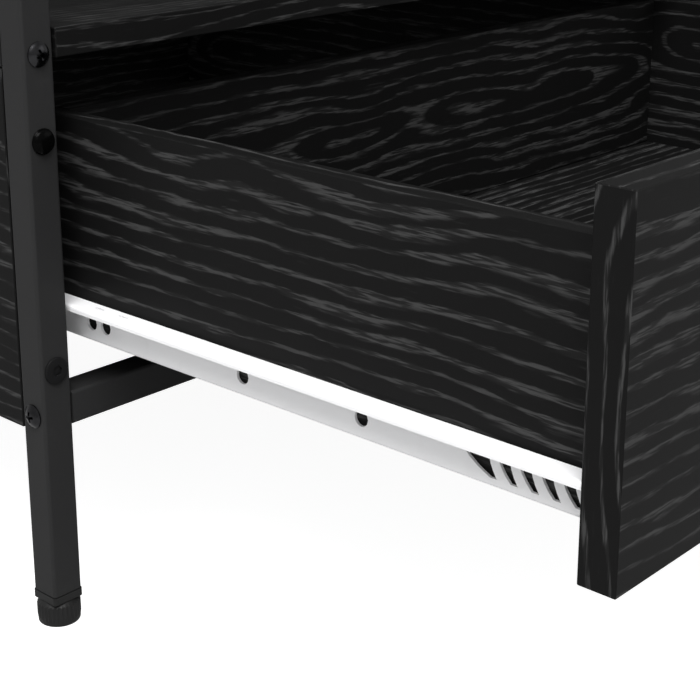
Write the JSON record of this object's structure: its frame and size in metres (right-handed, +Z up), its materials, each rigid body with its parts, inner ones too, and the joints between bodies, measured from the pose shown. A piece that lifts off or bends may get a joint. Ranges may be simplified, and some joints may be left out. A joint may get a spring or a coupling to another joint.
{
  "type": "lift top coffee table",
  "caption": "Coffee table with a lifting top over a hidden box, an open shelf, a roller slide drawer and a cubby, on a square tube frame.",
  "frame": {"origin": "on the floor, under the centre of the whole table with its drawer open", "axes": "+X along the length to the right as seen from the front, +Z up, front and drawer towards -Y"},
  "size_m": [1.0642, 0.7756, 0.47],
  "materials": {
    "black_oak": "black oak foil, dark base with light grey grain, satin",
    "black_steel": "fine black powder coat, satin",
    "white_steel": "white powder coat, satin",
    "black_plastic": "matt black moulded plastic",
    "white_plastic": "off-white nylon",
    "zinc_steel": "dark zinc plate"
  },
  "bodies": {
    "frame": {"back_panel": "black_oak", "box_floor": "black_oak", "box_wall_front": "black_oak", "box_wall_left": "black_oak", "box_wall_rear": "black_oak", "box_wall_right": "black_oak", "cabinet_slide_left": "white_steel", "cabinet_slide_right": "white_steel", "cubby_floor": "black_oak", "foot_plug_front_left": "black_plastic", "foot_plug_front_right": "black_plastic", "foot_plug_rear_left": "black_plastic", "foot_plug_rear_right": "black_plastic", "leg_front_left": "black_steel", "leg_front_right": "black_steel", "leg_rear_left": "black_steel", "leg_rear_right": "black_steel", "lift_base_plate_left": "black_steel", "lift_base_plate_right": "black_steel", "lift_spring_left": "zinc_steel", "lift_spring_right": "zinc_steel", "lower_rail_front": "black_steel", "lower_rail_rear": "black_steel", "partition": "black_oak", "pivot_pin_lower_front_left": "zinc_steel", "pivot_pin_lower_front_right": "zinc_steel", "pivot_pin_lower_rear_left": "zinc_steel", "pivot_pin_lower_rear_right": "zinc_steel", "shelf_board": "black_oak", "side_panel_left": "black_oak", "side_panel_right": "black_oak", "side_rail_left": "black_steel", "side_rail_right": "black_steel"},
    "drawer": {"drawer_back": "black_oak", "drawer_bottom": "black_oak", "drawer_front": "black_oak", "drawer_side_left": "black_oak", "drawer_side_right": "black_oak", "drawer_slide_left": "white_steel", "drawer_slide_right": "white_steel"},
    "rear_arms": {"lift_arm_rear_left": "black_steel", "lift_arm_rear_right": "black_steel", "lift_cross_bar": "black_steel"},
    "lifting_top": {"lift_top": "black_oak", "lift_top_bracket_left": "black_steel", "lift_top_bracket_right": "black_steel", "pivot_pin_upper_front_left": "zinc_steel", "pivot_pin_upper_front_right": "zinc_steel", "pivot_pin_upper_rear_left": "zinc_steel", "pivot_pin_upper_rear_right": "zinc_steel"},
    "cabinet_roller_left": {"cabinet_roller_left": "white_plastic"},
    "cabinet_roller_right": {"cabinet_roller_right": "white_plastic"},
    "drawer_roller_left": {"drawer_roller_left": "white_plastic"},
    "drawer_roller_right": {"drawer_roller_right": "white_plastic"},
    "levelling_foot_front_left": {"levelling_foot_front_left": "black_plastic"},
    "levelling_foot_front_right": {"levelling_foot_front_right": "black_plastic"},
    "levelling_foot_rear_left": {"levelling_foot_rear_left": "black_plastic"},
    "levelling_foot_rear_right": {"levelling_foot_rear_right": "black_plastic"},
    "lift_arm_front_left": {"lift_arm_front_left": "black_steel"},
    "lift_arm_front_right": {"lift_arm_front_right": "black_steel"}
  },
  "joints": [
    {"name": "drawer_travel", "type": "slide", "parent": "frame", "child": "drawer", "axis": [0, -1, 0], "range_m": [-0.2736, 0]},
    {"name": "drawer_roller_left_spin", "type": "hinge", "parent": "drawer", "child": "drawer_roller_left", "pos_m": [-0.5077, -0.07895, 0.1327], "axis": [1, 0, 0], "continuous": true},
    {"name": "cabinet_roller_left_spin", "type": "hinge", "parent": "frame", "child": "cabinet_roller_left", "pos_m": [-0.5077, -0.09145, 0.1385], "axis": [1, 0, 0], "continuous": true},
    {"name": "drawer_roller_right_spin", "type": "hinge", "parent": "drawer", "child": "drawer_roller_right", "pos_m": [-0.0148, -0.07895, 0.1327], "axis": [1, 0, 0], "continuous": true},
    {"name": "cabinet_roller_right_spin", "type": "hinge", "parent": "frame", "child": "cabinet_roller_right", "pos_m": [-0.0148, -0.09145, 0.1385], "axis": [1, 0, 0], "continuous": true},
    {"name": "lift_swing", "type": "hinge", "parent": "frame", "child": "rear_arms", "pos_m": [0, 0.04575, 0.4], "axis": [1, 0, 0], "range_deg": [0, 115], "deforming": ["lift_spring_left", "lift_spring_right"]},
    {"name": "front_arm_left_swing", "type": "hinge", "parent": "frame", "child": "lift_arm_front_left", "pos_m": [-0.505, -0.01425, 0.4], "axis": [1, 0, 0], "range_deg": [0, 115]},
    {"name": "front_arm_right_swing", "type": "hinge", "parent": "frame", "child": "lift_arm_front_right", "pos_m": [0.505, -0.01425, 0.4], "axis": [1, 0, 0], "range_deg": [0, 115]},
    {"name": "top_level", "type": "hinge", "parent": "rear_arms", "child": "lifting_top", "pos_m": [0, 0.28275, 0.44], "axis": [1, 0, 0], "range_deg": [-115, 0]},
    {"name": "levelling_foot_front_left_screw", "type": "slide", "parent": "frame", "child": "levelling_foot_front_left", "axis": [0, 0, -1], "range_m": [0, 0.008]},
    {"name": "levelling_foot_rear_left_screw", "type": "slide", "parent": "frame", "child": "levelling_foot_rear_left", "axis": [0, 0, -1], "range_m": [0, 0.008]},
    {"name": "levelling_foot_front_right_screw", "type": "slide", "parent": "frame", "child": "levelling_foot_front_right", "axis": [0, 0, -1], "range_m": [0, 0.008]},
    {"name": "levelling_foot_rear_right_screw", "type": "slide", "parent": "frame", "child": "levelling_foot_rear_right", "axis": [0, 0, -1], "range_m": [0, 0.008]}
  ],
  "couplings": [
    {"joint": "drawer_roller_left_spin", "follows": "drawer_travel", "rad_per_m": 153.85},
    {"joint": "cabinet_roller_left_spin", "follows": "drawer_travel", "rad_per_m": 153.85},
    {"joint": "drawer_roller_right_spin", "follows": "drawer_travel", "rad_per_m": 153.85},
    {"joint": "cabinet_roller_right_spin", "follows": "drawer_travel", "rad_per_m": 153.85},
    {"joint": "front_arm_left_swing", "follows": "lift_swing", "ratio": 1},
    {"joint": "front_arm_right_swing", "follows": "lift_swing", "ratio": 1},
    {"joint": "top_level", "follows": "lift_swing", "ratio": -1}
  ]
}
